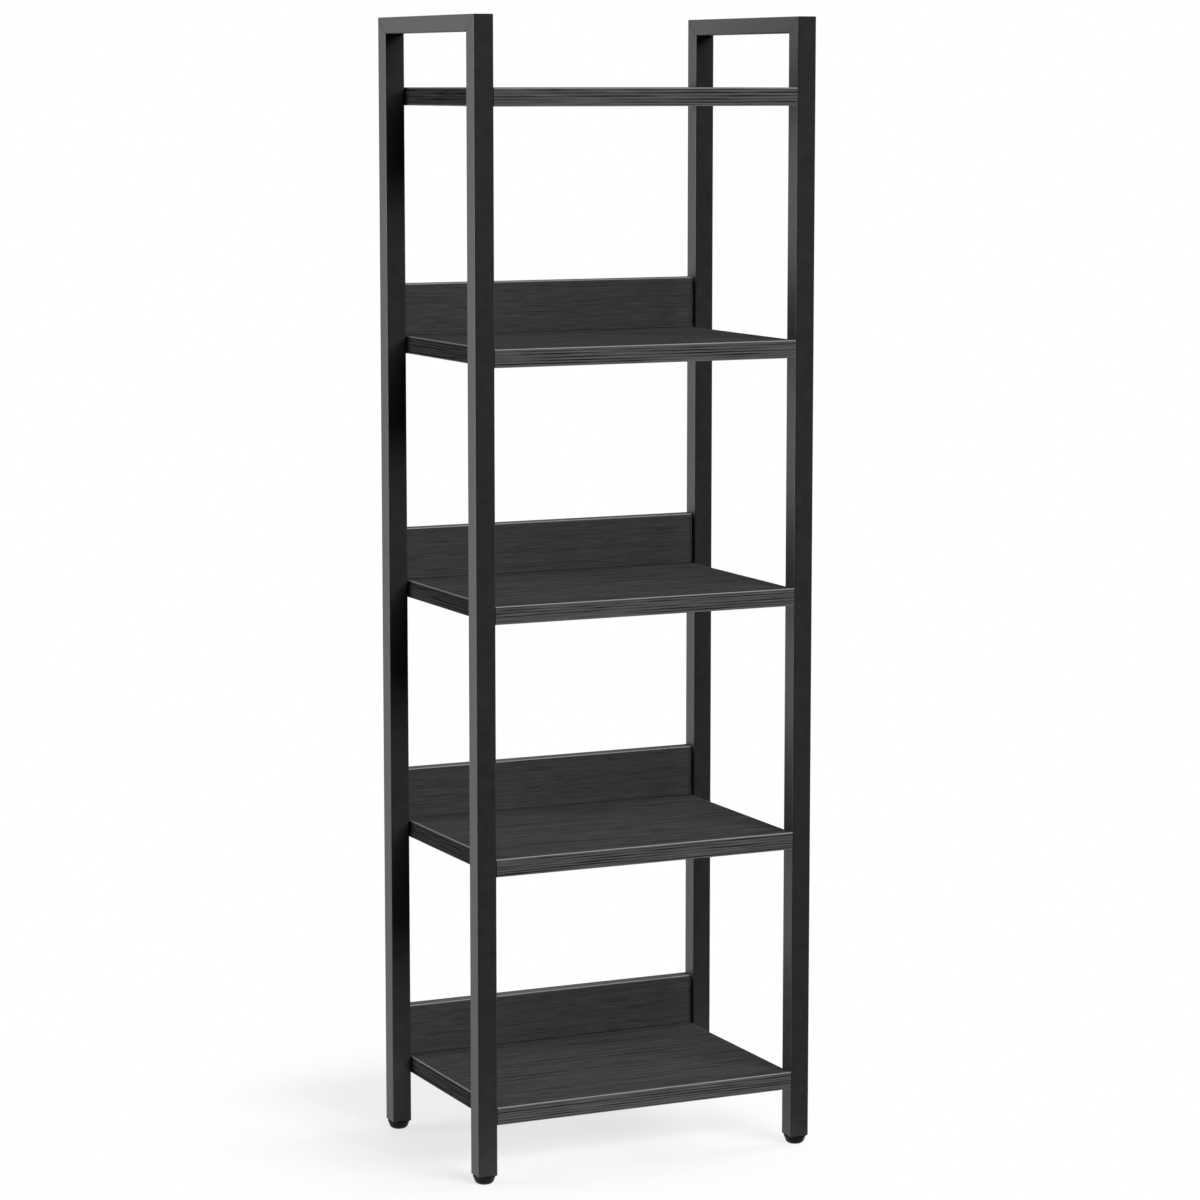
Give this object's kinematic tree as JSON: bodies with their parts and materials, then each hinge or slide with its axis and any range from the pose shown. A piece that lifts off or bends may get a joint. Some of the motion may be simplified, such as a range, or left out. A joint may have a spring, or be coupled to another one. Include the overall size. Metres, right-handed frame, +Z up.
{
  "type": "bookcase",
  "caption": "Tall narrow open bookcase: wood-grain shelves with low back boards between two mitred square-tube side frames, on screw-in levelling feet.",
  "frame": {"origin": "on the floor, midway between the four feet", "axes": "+Z up, +X to the right seen from the front, front towards -Y"},
  "size_m": [0.453, 0.303, 1.4],
  "materials": {
    "frame_steel": "fine satin black powder coat",
    "shelf_board": "black wood-grain melamine, matt, grain along the shelf",
    "edge_band": "black streaked edge band with rounded edges",
    "foot_plastic": "moulded black plastic",
    "insert_plastic": "moulded black plastic",
    "fitting_steel": "zinc plated",
    "cam_zinc": "die-cast zinc",
    "dowel_wood": "plain fluted beech"
  },
  "bodies": {
    "case": {"back_board_dowels": "dowel_wood", "back_board_screws": "fitting_steel", "bottom_back_board": "shelf_board", "bottom_back_board_edge_bands": "edge_band", "bottom_shelf": "shelf_board", "bottom_shelf_edge_bands": "edge_band", "cam_bolts": "fitting_steel", "cam_locks": "cam_zinc", "foot_nuts": "fitting_steel", "left_front_leg": "frame_steel", "left_front_leg_insert": "insert_plastic", "left_rear_leg": "frame_steel", "left_rear_leg_insert": "insert_plastic", "left_top_rail": "frame_steel", "lower_back_board": "shelf_board", "lower_back_board_edge_bands": "edge_band", "lower_shelf": "shelf_board", "lower_shelf_edge_bands": "edge_band", "middle_back_board": "shelf_board", "middle_back_board_edge_bands": "edge_band", "middle_shelf": "shelf_board", "middle_shelf_edge_bands": "edge_band", "right_front_leg": "frame_steel", "right_front_leg_insert": "insert_plastic", "right_rear_leg": "frame_steel", "right_rear_leg_insert": "insert_plastic", "right_top_rail": "frame_steel", "rivet_nuts": "fitting_steel", "top_shelf": "shelf_board", "top_shelf_edge_bands": "edge_band", "upper_back_board": "shelf_board", "upper_back_board_edge_bands": "edge_band", "upper_shelf": "shelf_board", "upper_shelf_edge_bands": "edge_band"},
    "left_front_pad": {"left_front_foot_pad": "foot_plastic"},
    "left_front_stud": {"left_front_foot_stud": "fitting_steel"},
    "left_rear_pad": {"left_rear_foot_pad": "foot_plastic"},
    "left_rear_stud": {"left_rear_foot_stud": "fitting_steel"},
    "right_front_pad": {"right_front_foot_pad": "foot_plastic"},
    "right_front_stud": {"right_front_foot_stud": "fitting_steel"},
    "right_rear_pad": {"right_rear_foot_pad": "foot_plastic"},
    "right_rear_stud": {"right_rear_foot_stud": "fitting_steel"}
  },
  "joints": [
    {"name": "left_front_foot_travel", "type": "slide", "parent": "case", "child": "left_front_pad", "axis": [0, 0, -1], "range_m": [0, 0.01]},
    {"name": "left_front_foot_turn", "type": "hinge", "parent": "left_front_pad", "child": "left_front_stud", "pos_m": [-0.2125, -0.1375, 0], "axis": [0, 0, -1], "range_deg": [0, 2880]},
    {"name": "left_rear_foot_travel", "type": "slide", "parent": "case", "child": "left_rear_pad", "axis": [0, 0, -1], "range_m": [0, 0.01]},
    {"name": "left_rear_foot_turn", "type": "hinge", "parent": "left_rear_pad", "child": "left_rear_stud", "pos_m": [-0.2125, 0.1375, 0], "axis": [0, 0, -1], "range_deg": [0, 2880]},
    {"name": "right_front_foot_travel", "type": "slide", "parent": "case", "child": "right_front_pad", "axis": [0, 0, -1], "range_m": [0, 0.01]},
    {"name": "right_front_foot_turn", "type": "hinge", "parent": "right_front_pad", "child": "right_front_stud", "pos_m": [0.2125, -0.1375, 0], "axis": [0, 0, -1], "range_deg": [0, 2880]},
    {"name": "right_rear_foot_travel", "type": "slide", "parent": "case", "child": "right_rear_pad", "axis": [0, 0, -1], "range_m": [0, 0.01]},
    {"name": "right_rear_foot_turn", "type": "hinge", "parent": "right_rear_pad", "child": "right_rear_stud", "pos_m": [0.2125, 0.1375, 0], "axis": [0, 0, -1], "range_deg": [0, 2880]}
  ],
  "couplings": [
    {"joint": "left_front_foot_travel", "follows": "left_front_foot_turn", "m_per_rad": 0.00019894},
    {"joint": "left_rear_foot_travel", "follows": "left_rear_foot_turn", "m_per_rad": 0.00019894},
    {"joint": "right_front_foot_travel", "follows": "right_front_foot_turn", "m_per_rad": 0.00019894},
    {"joint": "right_rear_foot_travel", "follows": "right_rear_foot_turn", "m_per_rad": 0.00019894}
  ]
}
